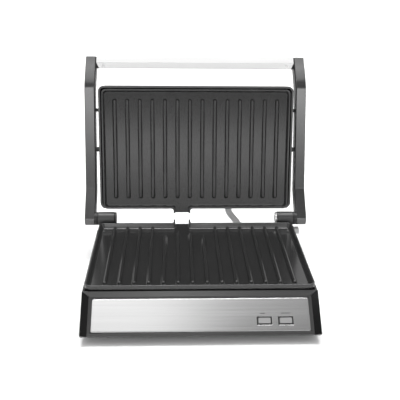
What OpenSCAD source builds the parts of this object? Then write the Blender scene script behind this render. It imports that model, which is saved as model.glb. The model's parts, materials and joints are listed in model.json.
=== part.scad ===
// Two-slice panini press with a floating lid, drawn open.
// Bench frame used while drawing: X to the right, Y from the front rim of the lower plate towards the
// hinge, Z up from the table. place() moves it so that the origin is under the middle of the open press.

/* [Grill plates] */
// Width of the lower plate over its rim
plate_w = 244; // [236:1:250]
// Depth of the lower plate over its rim, front to back
plate_d = 155.6; // [150:0.1:158]
// Height of the lower plate's rim above the table
rim_z = 50; // [48:1:54]
// Corner radius of the plates
plate_r = 6; // [4:1:9]
// Width of the rim all round a plate
rim_w = 3.2; // [2.5:0.1:5]
// Depth of the cooking surface below the rim
well = 6; // [5:0.5:7]
// Thickness of the plate under the cooking surface
plate_t = 3.5; // [3:0.5:4]
// Number of ribs on each plate
ribs = 14; // [10:1:14]
// Distance between neighbouring ribs
rib_pitch = 15.7; // [14:0.1:16.5]
// Width of one rib
rib_w = 4.6; // [3:0.1:6]
// Height of one rib above the cooking surface
rib_h = 3.6; // [2:0.1:4.5]
// Sideways place of the fat spouts, measured from the middle
spout_x = -18; // [-30:1:0]
// Inner width of the fat spouts
spout_w = 17.2; // [12:0.2:20]

/* [Lid] */
// Angle of the lid and arms from closed
open_angle = 102.2; // [60:0.1:120]
// Gap between the two rims when the press is closed
closed_gap = 4.5; // [4:0.1:6]
// Height of the lid above its own rim
lid_h = 36; // [32:1:38]
// Thickness of the lid's walls
lid_t = 2.5; // [2:0.1:3]
// Width of the shell's border around the upper plate
lid_border = 3; // [2:0.1:4]
// Place of the side pivots, from the front of the lid
pivot_y = 81; // [70:1:90]
// Place of the stop pins, from the front of the lid
stop_y = 31; // [25:1:40]
// Radius of the side pivot pins
pivot_r = 3; // [2:0.1:3.5]

/* [Hinge] */
// Place of the hinge axis behind the front rim
hinge_y = 167; // [166:0.1:168]
// Height of the hinge axis above the table
hinge_z = 50.8; // [50:0.1:52]
// Radius of the hinge barrels
barrel_r = 8.5; // [8:0.1:9]
// Radius of the hinge shafts
shaft_r = 4; // [3:0.1:5]
// Radial play of a pin in its bore
play = 0.05; // [0.02:0.01:0.1]

/* [Arms and handle] */
// Distance from the middle to the inner face of each arm
arm_x = 127.8; // [127:0.1:130]
// Thickness of an arm, sideways
arm_w = 13.3; // [10:0.1:15]
// Depth of an arm, seen from the side
arm_d = 16; // [14:0.5:18]
// Rear bend of the arm's underside when closed: place from the front
bend_rear_y = 130.5; // [125:0.5:135]
// Rear bend of the arm's underside when closed: height
bend_rear_z = 62.5; // [60:0.5:65]
// Front bend of the arm's underside when closed: place from the front
bend_front_y = 3.5; // [0:0.5:8]
// Front bend of the arm's underside when closed: height
bend_front_z = 73; // [70:0.5:76]
// Tip of the arm's underside when closed: distance in front of the plate
tip_y = 37; // [34:0.5:40]
// Tip of the arm's underside when closed: height
tip_z = 98; // [95:0.5:100]

/* [Base] */
// Width of the base over its side covers
base_w = 248.8; // [248:0.2:252]
// Height of the base above the table, on its feet
foot_h = 6.3; // [5:0.1:8]
// Thickness of the tub's walls
wall = 2.5; // [2:0.1:3]
// Slope of the front fascia from the horizontal
fascia_angle = 41.4; // [38:0.1:45]
// Width of the steel fascia panel
panel_w = 228; // [220:1:230]
// Length of the steel fascia panel along the slope
panel_l = 36.6; // [34:0.1:38]
// Thickness of the steel fascia panel
panel_t = 1.2; // [0.8:0.1:1.5]

/* [Keys] */
// Width of a key's opening
key_w = 15.8; // [12:0.1:18]
// Length of a key's opening along the slope
key_l = 9; // [7:0.1:10]
// Distance from the middle of the press to the first key
key_x = 65.9; // [60:0.1:70]
// Distance between the two keys
key_pitch = 22.3; // [20:0.1:24]
// Distance of the keys' middle from the lower edge of the panel
key_up = 11.6; // [9:0.1:20]
// Travel of a key
key_travel = 1.2; // [0.8:0.1:1.2]

/* [Drip tray and lead] */
// Width of the drip tray
tray_w = 84; // [70:1:84]
// Height of the drip tray
tray_h = 21; // [16:1:21]
// Diameter of each core of the lid lead
lead_core = 4.2; // [4:0.1:5.5]
// Sideways place of the lead where it leaves the lid
lead_lid_x = 43; // [35:1:50]
// Sideways place of the lead where it enters the base
lead_base_x = 60; // [50:1:70]

/* [Hidden] */
$fn = 48;

// Colours
nonstick = [0.16, 0.16, 0.17];
gloss_black = [0.05, 0.05, 0.05];
dark_plastic = [0.2, 0.2, 0.2];
arm_grey = [0.36, 0.36, 0.37];
steel = [0.75, 0.75, 0.76];
aluminium = [0.93, 0.93, 0.94];
lead_grey = [0.72, 0.72, 0.72];
rubber = [0.1, 0.1, 0.1];

// Grill plates
plate_half = plate_w / 2;
plate_face_t = 4.8; // height of a rim's outer face
seat_in = 3; // how far the plate's body stands in from its rim
floor_z = rim_z - well;
under_z = floor_z - plate_t;
lid_rim_z = rim_z + closed_gap;
spout_wall = 2;
lower_spout_reach = 9.4;
upper_spout_reach = 5.1;
rib_front = 12;
boss_r = 4;
boss_h = 12;
boss_x = 80;
boss_front = 20;
boss_back = 135;
post_x = 105;
post_y = [18, 78, 138];
screw_r = 1.45;
screw_bore = 1.5;
screw_head_r = 3;
screw_head_h = 1.7;

// Base
base_half = base_w / 2;
cover_t = 2.2; // thickness of the side covers
tub_half = base_half - cover_t;
floor_t = 2; // thickness of the bottom cover
tub_z = foot_h + floor_t;
tub_top = rim_z - 6.4;
front_wall_y = 8;
rear_wall_y = 166;
horn_y = 176; // rear end of the hinge horns
horn_x = 102;
horn_top = 36;
deck_z = under_z - 2.5;
cover_top = rim_z - 7.5;
cover_top_rear = rim_z - 10;
fascia_y = -31.9; // lower edge of the panel
fascia_z = rim_z - 36.8;
frame_t = 4;
lip = 3.5; // flat strip below the panel
top_gap = 1.55; // flat strip above the panel
strip_x = 117.4; // inner edge of the side strips
strip_rise = 2; // how far the strips' outer edges stand up
strip_reach = 5.85; // length of the top strip along the slope
strip_angle = 15.7;
feet_y = [0, 157];
hinge_screw_y = [161.5, 169.5];
rear_top = 42; // top of the rear wall, under the hinge shafts' ends

// Hinge and arms
barrel_in = 104;
barrel_out = 123.9;
boss_in = 124.2;
liner_t = 0.8;
arm_out = arm_x + arm_w;
arm_under = [
    [hinge_y - 1.5, hinge_z - 8.3], [bend_rear_y, bend_rear_z],
    [bend_front_y, bend_front_z], [-tip_y, tip_z]
];
pivot_z = bend_rear_z + arm_d / 2
    + (bend_rear_y - pivot_y) / (bend_rear_y - bend_front_y) * (bend_front_z - bend_rear_z);
stop_z = bend_rear_z + arm_d / 2
    + (bend_rear_y - stop_y) / (bend_rear_y - bend_front_y) * (bend_front_z - bend_rear_z);
stop_r = 2.2;
bush_r = 5;
flange_r = 6.5;

// Handle, as a section across the closed press, as [Y, Z] from the arm's tip
handle_section = [
    [0, 0], [8, -4.9], [15.1, -3.4], [15.8, 0.2], [14.2, 6.6], [9.8, 8.4], [4.6, 7.4], [1.2, 1.9]
];
handle_half = arm_x - 0.2;
seat_front = 8; // where the slanted end cut starts, behind the tip
seat_cut = 4.3;
tongue_x = 112;
handle_screw_x = 118.6;

// Keys: heights along the fascia's normal
bezel_t = 1.4;
key_gap = 0.2;
key_proud = 0.8;
key_foot = -6;
flange_top = -4.35;
board_z = -10;
board_t = 1.6;

// Drip tray
tray_x = spout_x;
tray_front = 138;
tray_back = 176.3;
tray_z = tub_z + 0.3;
tray_t = 1.8;
tray_play = 1;

// Release slider
slider_y = 161;
slider_z = 36.2;
slider_len = 9;
slider_h = 6.4;
slider_travel = 4;
spring_room = slider_travel + 3;
stem_y = 6;
stem_h = 4;
stem_in = 117.5;
knob_out = 132.5;

// Lead: the middle of the pair, from the lid to the base, in the bench frame of the open press
lead_w = 2 * lead_core;
gland_z = 30;
lead_route = [
    [lead_lid_x, 193.8, 62.5], [lead_lid_x, 193, 59], [lead_lid_x, 192, 55], [43.4, 191.2, 51.5],
    [44.6, 189.8, 48.5], [46.8, 187.8, 45.8], [49.8, 185.2, 43], [53, 182, 40], [55.8, 178.8, 36.8],
    [58, 175.6, 33.6], [59.4, 172.6, 31.2], [lead_base_x, 169.6, 30.1], [lead_base_x, 166, gland_z],
    [lead_base_x, 160, gland_z]
];
boot_z = rim_z + 24.5;

// The open press runs from the fascia's lower lip to the back of an arm's tip
function turned_y(p) = hinge_y + (p[0] - hinge_y) * cos(open_angle) + (p[1] - hinge_z) * sin(open_angle);
front_y = fascia_y - lip * cos(fascia_angle) - strip_rise * sin(fascia_angle);
back_y = max([for (p = arm_outline()) turned_y(p)]);
origin_y = (front_y + back_y) / 2;

// ---- helpers ----

// Places the bench frame on the part's own origin
module place() translate([0, -origin_y, 0]) children();

// Turns what is drawn closed to the open pose
module opened()
    place() translate([0, hinge_y, hinge_z]) rotate([-open_angle, 0, 0])
        translate([0, -hinge_y, -hinge_z]) children();

// Puts children on the fascia: X across, Y up the slope from the panel's lower edge, Z outwards
module sloped() place() translate([0, fascia_y, fascia_z]) rotate([fascia_angle, 0, 0]) children();

// Mirrors what is drawn on the right when side is -1
module on_side(side) mirror([side < 0 ? 1 : 0, 0, 0]) children();

module both_sides() for (side = [-1, 1]) on_side(side) children();

module rounded_square(w, d, r) {
    square([w - 2 * r, d], center = true);
    square([w, d - 2 * r], center = true);
    for (x = [-1, 1], y = [-1, 1]) translate([x * (w / 2 - r), y * (d / 2 - r)]) circle(r);
}

// Rounded slab centred on X, from y0 to y1 and z0 to z1
module slab(w, y0, y1, z0, z1, r)
    translate([0, (y0 + y1) / 2, z0]) linear_extrude(z1 - z0) rounded_square(w, y1 - y0, r);

// Box from one corner to the other
module box(a, b) translate(a) cube(b - a);

// Round bar along X
module bar_x(x0, x1, r, y, z) translate([x0, y, z]) rotate([0, 90, 0]) cylinder(h = x1 - x0, r = r);

// Round bar along Z
module bar_z(x, y, z0, z1, r) translate([x, y, z0]) cylinder(h = z1 - z0, r = r);

// Extrudes a [Y, Z] outline along X
module side_profile(x0, x1, points)
    translate([x0, 0, 0]) rotate([90, 0, 90]) linear_extrude(x1 - x0) polygon(points);

// ---- grill plates ----

function rib_x(i) = (i - (ribs - 1) / 2) * rib_pitch;

// Ribs near the lower spout stop short of it, the nearest one least
function drain(x) = abs(x - spout_x) < 1.7 * rib_pitch ? 13 + 0.45 * abs(x - spout_x) : 0;

module rib(x, y0, y1) {
    bar_z(x, y0 + rib_w / 2, -well - 1, -well + rib_h, rib_w / 2);
    bar_z(x, y1 - rib_w / 2, -well - 1, -well + rib_h, rib_w / 2);
    box([x - rib_w / 2, y0 + rib_w / 2, -well - 1], [x + rib_w / 2, y1 - rib_w / 2, -well + rib_h]);
}

// A plate with its cooking side up and its rim at Z = 0, from y0 to y1
module grill_plate(w, y0, y1, spout_reach) {
    spout_out = spout_w / 2 + spout_wall;
    difference() {
        union() {
            slab(w, y0, y1, -plate_face_t, 0, plate_r);
            slab(w - 2 * seat_in, y0 + seat_in, y1 - seat_in, -well - plate_t, -plate_face_t, plate_r - 1);
            box([spout_x - spout_out, y1 - seat_in - 1, -well - 3],
                [spout_x + spout_out, y1 + spout_reach, 0]);
        }
        slab(w - 2 * rim_w, y0 + rim_w, y1 - rim_w, -well, 1, plate_r - 2);
        box([spout_x - spout_w / 2, y1 - rim_w - 2, -well], [spout_x + spout_w / 2, y1 + spout_reach + 1, 1]);
        at_posts() bar_z(0, 0, -well - plate_t - 1, -well - 1, screw_bore);
    }
    difference() {
        for (x = [-boss_x, boss_x], y = [boss_front, boss_back])
            bar_z(x, y, -well - boss_h, -well - 1, boss_r);
        for (x = [-boss_x, boss_x], y = [boss_front, boss_back])
            bar_z(x, y, -well - boss_h - 1, -well - 2, screw_bore);
    }
}

module lower_grill_plate() color(nonstick) place() translate([0, 0, rim_z]) {
    grill_plate(plate_w, 0, plate_d, lower_spout_reach);
    for (i = [0 : ribs - 1]) rib(rib_x(i), rib_front, plate_d - rim_w - drain(rib_x(i)) + 0.1);
}

module upper_grill_plate() color(nonstick)
    opened() translate([0, 0, lid_rim_z]) mirror([0, 0, 1]) {
        grill_plate(plate_w - 2 * lid_border, lid_border, plate_d, upper_spout_reach);
        for (i = [0 : ribs - 1]) rib(rib_x(i), rib_front + 4.5, plate_d - 13.5);
    }

// Six posts carry each plate
module at_posts() for (x = [-post_x, post_x], y = post_y) translate([x, y, 0]) children();

// Four screws with their heads at Z = 0 and their shanks upwards
module plate_screws() for (x = [-boss_x, boss_x], y = [boss_front, boss_back]) {
    bar_z(x, y, 0, screw_head_h, screw_head_r);
    bar_z(x, y, screw_head_h, screw_head_h + 6.5, screw_r);
}

// ---- heating ----

element_r = 3.3;
element_bend = 37;

// U-shaped tubular element under a plate, in the plane Z = 0
module heating_element() translate([0, plate_d / 2, 0]) {
    for (y = [-element_bend, element_bend]) {
        bar_x(-86, 54, element_r, y, 0);
        bar_x(-98, -86, 1.6, y, 0);
    }
    translate([54, 0, 0]) rotate([0, 0, -90]) rotate_extrude(angle = 180)
        translate([element_bend, 0]) circle(element_r);
}

// Shallow sheet-metal pan with its floor at Z = 0
module reflector(rim) difference() {
    slab(200, 12, 145, 0, rim, 5);
    slab(198.4, 12.8, 144.2, 0.8, rim + 1, 4.2);
    for (x = [-boss_x, boss_x], y = [boss_front, boss_back]) bar_z(x, y, -1, 1, screw_bore + 0.2);
}

reflector_z = under_z - boss_h + plate_t;

module lower_heating_element() color(steel) place()
    translate([0, 0, under_z - element_r - 0.2]) heating_element();

module lower_reflector() color(steel) place() translate([0, 0, reflector_z - 0.8]) reflector(6);

module lower_plate_screws() color(steel) place()
    translate([0, 0, reflector_z - 0.8 - screw_head_h]) plate_screws();

module upper_heating_element() color(steel)
    opened() translate([0, 0, lid_rim_z + well + plate_t + element_r + 0.2]) heating_element();

module upper_reflector() color(steel)
    opened() translate([0, 0, lid_rim_z + well + boss_h + 0.8]) mirror([0, 0, 1]) reflector(6);

module upper_plate_screws() color(steel)
    opened() translate([0, 0, lid_rim_z + well + boss_h + 0.8 + screw_head_h])
        mirror([0, 0, 1]) plate_screws();

module thermostat() color(steel) place() {
    box([22, 66, under_z - 7], [42, 84, under_z - 0.2]);
    bar_z(32, 75, reflector_z + 0.1, under_z - 7, 5);
}

// Fuse with its two crimped ends, lying along X
module thermal_fuse(y, z) {
    bar_x(-14, 14, 2.4, y, z);
    bar_x(-22, -14, 1, y, z);
    bar_x(14, 22, 1, y, z);
}

module lower_thermal_fuse() color(aluminium) place() thermal_fuse(60, under_z - 2.8);

module upper_thermal_fuse() color(aluminium)
    opened() thermal_fuse(60, lid_rim_z + well + plate_t + 2.8);

// ---- base ----

// Outline of the base's walls from above
module tub_outline(inset) {
    half = tub_half - inset;
    polygon([
        [-half, front_wall_y + inset], [half, front_wall_y + inset], [half, horn_y - inset],
        [horn_x + inset, horn_y - inset], [horn_x + inset, rear_wall_y - inset],
        [-horn_x - inset, rear_wall_y - inset], [-horn_x - inset, horn_y - inset], [-half, horn_y - inset]
    ]);
}

module slider_slot() {
    half_h = stem_h / 2 + 0.3;
    box([stem_in - 1, slider_y - stem_y / 2 - 0.3, slider_z - half_h],
        [base_half + 1, slider_y + stem_y / 2 + spring_room + 0.3, slider_z + half_h]);
}

module base_tub() color(dark_plastic) place() difference() {
    union() {
        difference() {
            translate([0, 0, tub_z]) linear_extrude(tub_top - tub_z) tub_outline(0);
            translate([0, 0, tub_z - 1]) linear_extrude(tub_top - tub_z + 2) tub_outline(wall);
            // the front wall is low, under the plate
            box([-tub_half - 1, front_wall_y - 1, under_z - 1],
                [tub_half + 1, front_wall_y + wall, tub_top + 1]);
            box([-tub_half - 1, 157, rear_top], [tub_half + 1, horn_y + 1, tub_top + 1]);
            // the horns end below the barrels
            both_sides() box([horn_x - 1, 156.5, horn_top], [tub_half + 1, horn_y + 1, tub_top + 1]);
        }
        // side walls forward of the front wall, up to the fascia
        both_sides() box([tub_half - wall, 2, tub_z], [tub_half, front_wall_y + 1, rim_z - 14]);
        // rear deck, the tops of the horns and the steps between them
        box([-horn_x - 1.8, 153.5, deck_z], [horn_x + 1.8, rear_wall_y, deck_z + wall]);
        both_sides() {
            box([horn_x, 156.5, horn_top - wall], [tub_half, horn_y, horn_top]);
            box([horn_x, 154, horn_top - wall], [horn_x + 1.8, rear_wall_y, deck_z + wall]);
            box([horn_x, 154, horn_top - wall], [tub_half, 156.6, rim_z - 7]);
        }
        // cheeks beside the drip tray
        for (side = [-1, 1])
            translate([tray_x + side * (tray_w / 2 + tray_play + wall / 2), 0, 0])
                box([-wall / 2, tray_front - 4, tub_z], [wall / 2, rear_wall_y - 1, tub_z + tray_h]);
        // posts under the plate, each with a web to the side wall
        at_posts() bar_z(0, 0, tub_z, under_z, boss_r);
        both_sides() for (y = post_y) box([post_x, y - 1, tub_z], [tub_half - 1, y + 1, under_z - 1]);
    }
    at_posts() bar_z(0, 0, tub_z - 1, under_z + 1, screw_bore);
    // mouth for the drip tray, and the notch under the spout
    box([tray_x - tray_w / 2 - tray_play, rear_wall_y - wall - 1, tub_z - 1],
        [tray_x + tray_w / 2 + tray_play, rear_wall_y + 1, tub_z + tray_h + 1]);
    box([spout_x - 14, 157.5, tub_z + tray_h], [spout_x + 14, rear_wall_y + 1, tub_top + 1]);
    slider_slot();
    // openings for the two glands
    translate([-84, rear_wall_y + 1, 24]) rotate([90, 0, 0]) cylinder(h = wall + 2, r = 6);
    translate([lead_base_x, rear_wall_y + 1, gland_z]) rotate([90, 0, 0])
        linear_extrude(wall + 2) rounded_square(17, 11, 3);
    both_sides() for (y = hinge_screw_y) bar_z(109, y, horn_top - wall - 1, horn_top + 1, screw_bore);
}

module bottom_cover() color(dark_plastic) place() difference() {
    union() {
        slab(2 * tub_half, fascia_y + 8.1, rear_wall_y, foot_h, tub_z, 2);
        both_sides() box([horn_x, rear_wall_y - 3, foot_h], [tub_half, horn_y, tub_z]);
    }
    at_posts() bar_z(0, 0, foot_h - 1, tub_z + 1, screw_bore + 0.2);
    for (x = [-48 : 12 : 48]) box([x - 1.5, 50, foot_h - 1], [x + 1.5, 105, tub_z + 1]);
    for (x = [-100, 100], y = feet_y) bar_z(x, y, foot_h - 1, tub_z + 1, 2.6);
}

// Long screws through the bottom cover and the posts into the lower plate
module bottom_screws() color(steel) place() at_posts() {
    bar_z(0, 0, foot_h - screw_head_h, foot_h, screw_head_r);
    bar_z(0, 0, foot_h, under_z + plate_t - 1.3, screw_r);
}

module rubber_feet() color(rubber) place() for (x = [-100, 100], y = feet_y) {
    bar_z(x, y, 0, foot_h, 8);
    bar_z(x, y, foot_h, tub_z, 2.5);
    bar_z(x, y, tub_z, tub_z + 1.5, 3.6);
}

// ---- fascia ----

top_y = panel_l * cos(fascia_angle);
top_z = panel_l * sin(fascia_angle);
into_y = frame_t * sin(fascia_angle);
into_z = frame_t * cos(fascia_angle);

// Section of the frame as [Y, Z] from the panel's lower edge
frame_section = [
    [top_y + top_gap * cos(fascia_angle), top_z + top_gap * sin(fascia_angle)],
    [-lip * cos(fascia_angle), -lip * sin(fascia_angle)],
    [2.4, foot_h - fascia_z],
    [8, foot_h - fascia_z],
    [8, foot_h - fascia_z + 2.4],
    [2.9, -2.8],
    [top_y + into_y + top_gap * cos(fascia_angle), top_z - into_z + top_gap * sin(fascia_angle)]
];

// Hole for one key, right through the fascia
module key_hole(i) translate([key_x + i * key_pitch, key_up, -frame_t - 3]) linear_extrude(frame_t + 5)
    square([key_w, key_l], center = true);

module fascia_frame() color(gloss_black) {
    difference() {
        place() translate([0, fascia_y, fascia_z]) side_profile(-strip_x + 0.1, strip_x - 0.1, frame_section);
        sloped() translate([-panel_w / 2 - 0.1, -0.1, -panel_t - 0.1])
            cube([panel_w + 0.2, panel_l + 0.2, 5]);
        sloped() for (i = [0, 1]) key_hole(i);
    }
    // top strip, wider at its upper edge
    sloped() translate([0, panel_l + top_gap, 0]) rotate([strip_angle, 0, 0]) translate([0, 0, -2])
        linear_extrude(2) polygon([
            [-strip_x + 1, -1.5], [strip_x - 1, -1.5], [strip_x - 1, 0],
            [base_half - 0.1, strip_reach + 0.2], [-base_half + 0.1, strip_reach + 0.2], [-strip_x + 1, 0]
        ]);
}

module fascia_panel() color(steel) sloped() difference() {
    translate([0, panel_l / 2, -panel_t]) linear_extrude(panel_t) rounded_square(panel_w, panel_l, 1.5);
    for (i = [0, 1]) key_hole(i);
}

// Outline of a side cover as [Y, Z]
cover_outline = [
    [fascia_y + top_y + 4.6, fascia_z + top_z + 5.1],
    [fascia_y - lip * cos(fascia_angle) + 1, fascia_z - lip * sin(fascia_angle) + 1],
    [fascia_y + 2.4, foot_h], [horn_y, foot_h], [horn_y, cover_top_rear],
    [156, cover_top_rear], [150, cover_top]
];

module side_cover(side) color(gloss_black) {
    difference() {
        place() on_side(side) side_profile(tub_half, base_half, cover_outline);
        place() slider_slot();
    }
    // bevelled strip beside the panel, mitred at its top
    difference() {
        sloped() on_side(side) translate([0, 0, -2.5]) linear_extrude(2.5 + strip_rise) polygon([
            [strip_x, -lip], [base_half, -lip], [base_half, panel_l + top_gap + strip_reach],
            [strip_x, panel_l + top_gap]
        ]);
        sloped() on_side(side) translate([strip_x, -lip - 1, 0])
            rotate([0, -atan(strip_rise / (base_half - strip_x)), 0]) translate([-1, 0, 0]) cube([12, 60, 6]);
        place() on_side(side) side_profile(tub_half - 0.01, base_half + 1, cover_outline);
    }
}

module left_side_cover() side_cover(-1);
module right_side_cover() side_cover(1);

// ---- keys ----

module key_bezels() color(rubber) sloped() for (i = [0, 1]) translate([key_x + i * key_pitch, key_up, 0])
    difference() {
        translate([0, 0, -frame_t]) linear_extrude(frame_t + 0.2)
            square([key_w - 0.1, key_l - 0.1], center = true);
        translate([0, 0, -frame_t - 1]) linear_extrude(frame_t + 3)
            square([key_w - 2 * bezel_t, key_l - 2 * bezel_t], center = true);
    }

// A key's cap in its bezel, and the flange that keeps it in
module key(i) color(steel) sloped() translate([key_x + i * key_pitch, key_up, 0]) {
    cap_w = key_w - 2 * bezel_t - 2 * key_gap;
    cap_l = key_l - 2 * bezel_t - 2 * key_gap;
    translate([0, 0, flange_top - 0.1]) linear_extrude(key_proud - flange_top + 0.1)
        rounded_square(cap_w, cap_l, 0.8);
    translate([0, 0, key_foot]) linear_extrude(flange_top - key_foot)
        square([key_w - 1, key_l - 1], center = true);
}

module left_key() key(0);
module right_key() key(1);

module key_board() color("darkgreen") sloped()
    translate([key_x - 14, key_up - 6, board_z]) cube([key_pitch + 28, 12, board_t]);

module key_domes() color(lead_grey) sloped() for (i = [0, 1])
    translate([key_x + i * key_pitch, key_up, board_z + board_t])
        cylinder(h = key_foot - key_travel - 0.1 - board_z - board_t, r = 2.8);

// ---- electrical pieces of the base ----

module terminal_block() color(lead_grey) place() difference() {
    box([56, 104, tub_z], [90, 120, tub_z + 14]);
    for (x = [63, 73, 83]) translate([x, 103, tub_z + 5]) rotate([-90, 0, 0]) cylinder(h = 18, r = 2);
}

module power_cord_gland() color(rubber) place() translate([-84, rear_wall_y + 3, 24]) rotate([90, 0, 0])
    difference() {
        union() {
            cylinder(h = 3, r = 8);
            cylinder(h = 3 + wall, r = 5.9);
            translate([0, 0, 3 + wall]) cylinder(h = 2, r = 8);
        }
        translate([0, 0, -1]) cylinder(h = 12, r = 3.7);
    }

module base_lead_gland() color(rubber) place() translate([lead_base_x, rear_wall_y + 3, gland_z])
    rotate([90, 0, 0]) difference() {
        union() {
            linear_extrude(3) rounded_square(20, 13, 4);
            linear_extrude(3 + wall) rounded_square(16.8, 10.8, 2.9);
        }
        translate([0, 0, -1]) linear_extrude(12) rounded_square(lead_w + 1, lead_core + 1, 2.5);
    }

// ---- drip tray and release slider ----

module drip_tray() color(dark_plastic) place() difference() {
    union() {
        box([tray_x - tray_w / 2, tray_front, tray_z], [tray_x + tray_w / 2, tray_back, tub_z + tray_h]);
        // grip lip under the rear edge
        box([tray_x - 16, tray_back - 1, tray_z + 6], [tray_x + 16, tray_back + 1.4, tray_z + 9]);
    }
    box([tray_x - tray_w / 2 + tray_t, tray_front + tray_t, tray_z + tray_t],
        [tray_x + tray_w / 2 - tray_t, tray_back - tray_t, tub_z + tray_h + 1]);
}

module release_slider() color(lead_grey) place() {
    box([stem_in, slider_y - stem_y / 2, slider_z - stem_h / 2],
        [base_half + 0.5, slider_y + stem_y / 2, slider_z + stem_h / 2]);
    difference() {
        box([base_half + 0.4, slider_y - slider_len / 2, slider_z - slider_h / 2],
            [knob_out, slider_y + slider_len / 2, slider_z + slider_h / 2]);
        // finger ridges
        for (k = [-1 : 1]) box([base_half + 3, slider_y + k * 2.8 - 0.6, slider_z + slider_h / 2 - 0.8],
            [knob_out + 1, slider_y + k * 2.8 + 0.6, slider_z + slider_h / 2 + 1]);
    }
}

spring_turns = 4;
spring_wire = 0.35;
spring_r = 1.5;
spring_steps = 10;

function spring_at(i) = let (a = 360 * i / spring_steps, n = spring_turns * spring_steps)
    [spring_r * cos(a), spring_wire + (spring_room - 2 * spring_wire) * i / n, spring_r * sin(a)];

// Compression spring between the slider's stem and the end of its slot
module release_spring() color(steel)
    place() translate([stem_in + 2.5, slider_y + stem_y / 2 + 0.15, slider_z])
        sweep([for (i = [0 : spring_turns * spring_steps]) spring_at(i)],
            2 * spring_wire, 2 * spring_wire, 5);

// ---- swept tubes ----

function unit(v) = v / norm(v);
function along(path, i) = unit(path[min(i + 1, len(path) - 1)] - path[max(i - 1, 0)]);
function across(t) = unit([1, 0, 0] - t * t[0]);

// Tube with an oval section of w by h along a path, with `sides` sides
module sweep(path, w, h, sides) {
    n = len(path);
    rings = [for (i = [0 : n - 1], k = [0 : sides - 1])
        let (t = along(path, i), u = across(t), v = cross(t, u), a = 360 * (k + 0.5) / sides)
        path[i] + u * (w / 2 * cos(a)) + v * (h / 2 * sin(a))];
    skin = [for (i = [0 : n - 2], k = [0 : sides - 1])
        let (a = i * sides + k, b = i * sides + (k + 1) % sides)
            each [[a, b + sides, b], [a, a + sides, b + sides]]];
    polyhedron(rings, concat([[for (k = [0 : sides - 1]) k]], skin,
        [[for (k = [sides - 1 : -1 : 0]) (n - 1) * sides + k]]), convexity = 4);
}

module lid_lead() color(lead_grey) place() sweep(lead_route, lead_w, lead_core, 10);

// ---- hinge ----

module hinge_block(side) color(dark_plastic) place() on_side(side) difference() {
    union() {
        bar_x(barrel_in, barrel_out, barrel_r, hinge_y, hinge_z);
        box([barrel_in, hinge_y - barrel_r + 1, horn_top], [116, hinge_y + barrel_r - 0.5, hinge_z - 4]);
    }
    bar_x(barrel_in - 1, barrel_out + 1, shaft_r + play, hinge_y, hinge_z);
    for (y = hinge_screw_y) bar_z(109, y, horn_top - 1, horn_top + 4.4, screw_bore);
}

module left_hinge_block() hinge_block(-1);
module right_hinge_block() hinge_block(1);

module hinge_block_screws() color(steel) place() both_sides() for (y = hinge_screw_y) {
    bar_z(109, y, horn_top - wall - screw_head_h, horn_top - wall, screw_head_r);
    bar_z(109, y, horn_top - wall, horn_top + 4, screw_r);
}

module hinge_shaft(side) color(steel) opened() on_side(side)
    bar_x(barrel_in - 2, arm_out - 3.5, shaft_r, hinge_y, hinge_z);

module left_hinge_shaft() hinge_shaft(-1);
module right_hinge_shaft() hinge_shaft(1);

// Cap on the inner end of the left shaft
module hinge_shaft_cap() color(rubber) opened() on_side(-1) difference() {
    bar_x(barrel_in - 2.6, barrel_in - 0.3, barrel_r - 0.5, hinge_y, hinge_z);
    bar_x(barrel_in - 2.1, barrel_in + 1, shaft_r + 0.02, hinge_y, hinge_z);
}

// Knurled nut on the inner end of the right shaft
module hinge_shaft_nut() color(aluminium) opened() difference() {
    bar_x(barrel_in - 2.8, barrel_in - 0.3, barrel_r - 0.9, hinge_y, hinge_z);
    bar_x(barrel_in - 4, barrel_in + 1, shaft_r + 0.02, hinge_y, hinge_z);
    for (a = [0 : 20 : 340]) translate([0, hinge_y, hinge_z]) rotate([a, 0, 0])
        translate([barrel_in - 4, barrel_r - 1.7, -0.5]) cube([5, 2, 1]);
}

// ---- arms, drawn closed ----

function normal(a, b) = unit([a[1] - b[1], b[0] - a[0]]) * (b[0] < a[0] ? -1 : 1);

// Upper edge of the arm: the underside moved by the arm's depth, with mitred corners
function arm_over(d) = [for (i = [0 : 3])
    let (n1 = normal(arm_under[max(i - 1, 0)], arm_under[max(i, 1)]),
         n2 = normal(arm_under[min(i, 2)], arm_under[min(i + 1, 3)]),
         m = unit(n1 + n2))
    arm_under[i] + m * d / (m * n1)];

function arm_outline() = concat(arm_under, [for (i = [3 : -1 : 0]) arm_over(arm_d)[i]]);
function liner_outline() = concat(arm_over(1.5), [for (i = [3 : -1 : 0]) arm_over(arm_d - 1.5)[i]]);

module arm(side) color(arm_grey) opened() on_side(side) difference() {
    union() {
        side_profile(arm_x + liner_t, arm_out, arm_outline());
        bar_x(arm_x + liner_t, arm_out, barrel_r, hinge_y, hinge_z);
        bar_x(boss_in, arm_x + liner_t + 1, barrel_r - 0.3, hinge_y, hinge_z);
    }
    bar_x(boss_in - 1, arm_out - 3.3, shaft_r + 0.02, hinge_y, hinge_z);
    bar_x(arm_out - 1.5, arm_out + 1, 6, hinge_y, hinge_z);
    bar_x(arm_x, arm_x + 7, pivot_r + 0.02, pivot_y, pivot_z);
    bar_x(arm_x, arm_x + 7, stop_r + 0.02, stop_y, stop_z);
}

module left_arm() arm(-1);
module right_arm() arm(1);

// Black liner that closes the inner face of an arm
module arm_liner(side) color(rubber) opened() on_side(side) difference() {
    side_profile(arm_x, arm_x + liner_t, liner_outline());
    bar_x(arm_x - 1, arm_x + liner_t + 1, barrel_r, hinge_y, hinge_z);
    bar_x(arm_x - 1, arm_x + liner_t + 1, pivot_r + 0.1, pivot_y, pivot_z);
    bar_x(arm_x - 1, arm_x + liner_t + 1, stop_r + 0.1, stop_y, stop_z);
}

module left_arm_liner() arm_liner(-1);
module right_arm_liner() arm_liner(1);

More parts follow.
